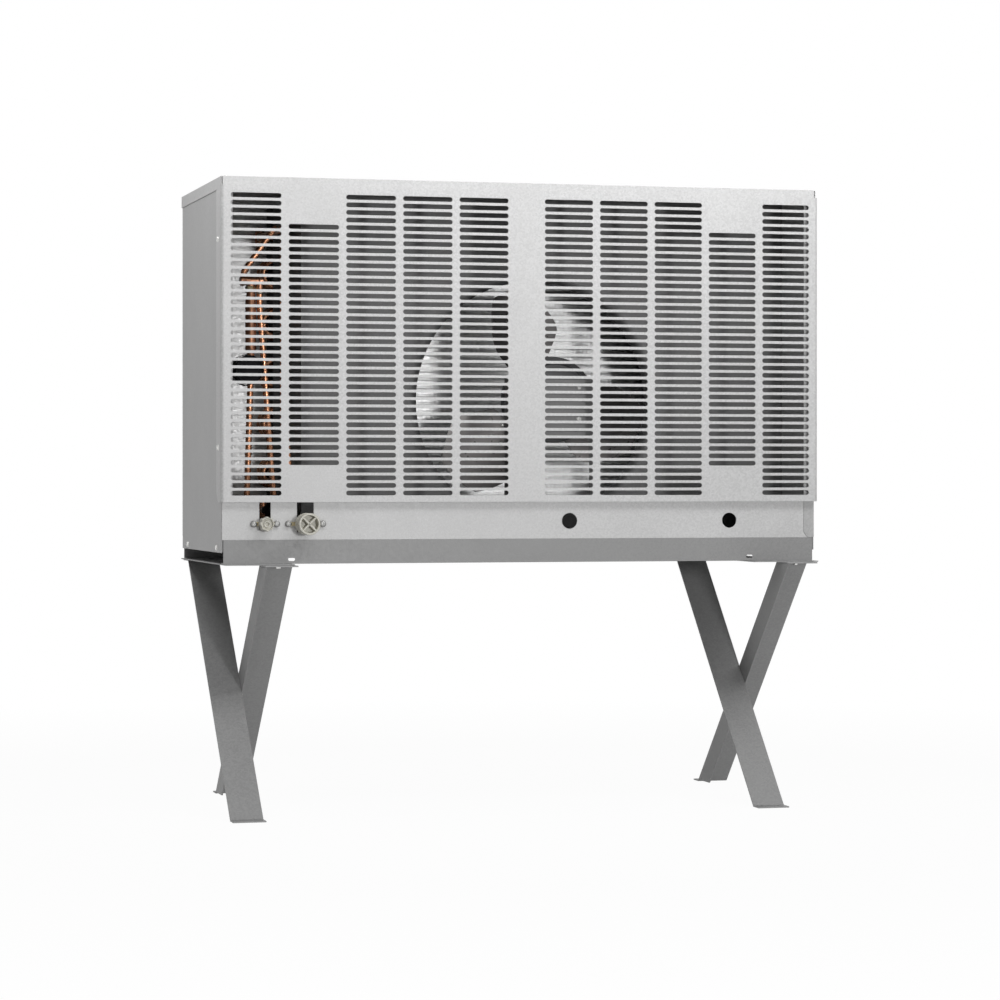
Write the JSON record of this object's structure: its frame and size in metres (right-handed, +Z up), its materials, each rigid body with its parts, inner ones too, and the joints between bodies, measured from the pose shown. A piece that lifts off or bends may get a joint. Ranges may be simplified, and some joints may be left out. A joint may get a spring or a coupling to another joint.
{
  "type": "remote condenser",
  "caption": "Air-cooled condenser cabinet of galvanised sheet on crossed legs, with a louvred front grille, a fan and coil behind it, and capped couplings.",
  "frame": {"origin": "on the floor, in the middle of the whole part's width and depth", "axes": "+X to the right as seen from the grille, +Y to the rear, +Z up"},
  "size_m": [0.9092, 0.4498, 0.9225],
  "materials": {
    "galvanised_sheet": "galvanised, fine spangle",
    "plated_screws": "zinc plated",
    "copper_tube": "dull copper",
    "brass_fittings": "satin brass",
    "motor_enamel": "black enamel",
    "fan_steel": "plated",
    "blade_aluminium": "mill finish",
    "coil_fins": "closely set bright fins",
    "capacitor_case": "black end cap",
    "cap_plastic": "cream, smooth",
    "plug_plastic": "black"
  },
  "bodies": {
    "cabinet": {"top_cover": "galvanised_sheet", "left_side_panel": "galvanised_sheet", "right_side_panel": "galvanised_sheet", "front_grille": "galvanised_sheet", "lower_front_panel": "galvanised_sheet", "rear_access_panel": "galvanised_sheet", "base_deck": "galvanised_sheet", "left_leg_rail": "galvanised_sheet", "right_leg_rail": "galvanised_sheet", "left_leg_front_foot": "galvanised_sheet", "left_leg_rear_foot": "galvanised_sheet", "right_leg_front_foot": "galvanised_sheet", "right_leg_rear_foot": "galvanised_sheet", "fan_shroud": "galvanised_sheet", "motor_stand": "galvanised_sheet", "coil_end_plate_left": "galvanised_sheet", "coil_end_plate_right": "galvanised_sheet", "terminal_box": "galvanised_sheet", "capacitor_clip": "galvanised_sheet", "leg_cross_bolts": "plated_screws", "leg_tab_screws": "plated_screws", "motor_mount_screws": "plated_screws", "coupling_screws": "plated_screws", "cover_screws": "plated_screws", "side_panel_screws": "plated_screws", "grille_screws": "plated_screws", "coil_return_bends_left": "copper_tube", "coil_return_bends_right": "copper_tube", "discharge_header": "copper_tube", "liquid_header": "copper_tube", "discharge_line": "copper_tube", "liquid_line": "copper_tube", "bypass_line": "copper_tube", "condensate_line": "copper_tube", "small_coupling": "brass_fittings", "large_coupling": "brass_fittings", "head_pressure_valve": "brass_fittings", "motor_front_bell": "motor_enamel", "motor_shell": "motor_enamel", "motor_rear_bell": "motor_enamel", "coil_fin_pack": "coil_fins", "run_capacitor": "capacitor_case", "hole_plug": "plug_plastic"},
    "fan": {"motor_shaft": "fan_steel", "fan_hub": "fan_steel", "fan_spider": "fan_steel", "fan_blade_1": "blade_aluminium", "fan_blade_2": "blade_aluminium", "fan_blade_3": "blade_aluminium"},
    "small_cap": {"small_cap": "cap_plastic"},
    "large_cap": {"large_cap": "cap_plastic"}
  },
  "joints": [
    {"name": "fan_spin", "type": "hinge", "parent": "cabinet", "child": "fan", "pos_m": [0.052, -0.05, 0.6046], "axis": [0, 1, 0], "continuous": true},
    {"name": "small_cap_pull", "type": "slide", "parent": "cabinet", "child": "small_cap", "axis": [0, -1, 0], "range_m": [0, 0.03]},
    {"name": "large_cap_pull", "type": "slide", "parent": "cabinet", "child": "large_cap", "axis": [0, -1, 0], "range_m": [0, 0.04]}
  ]
}
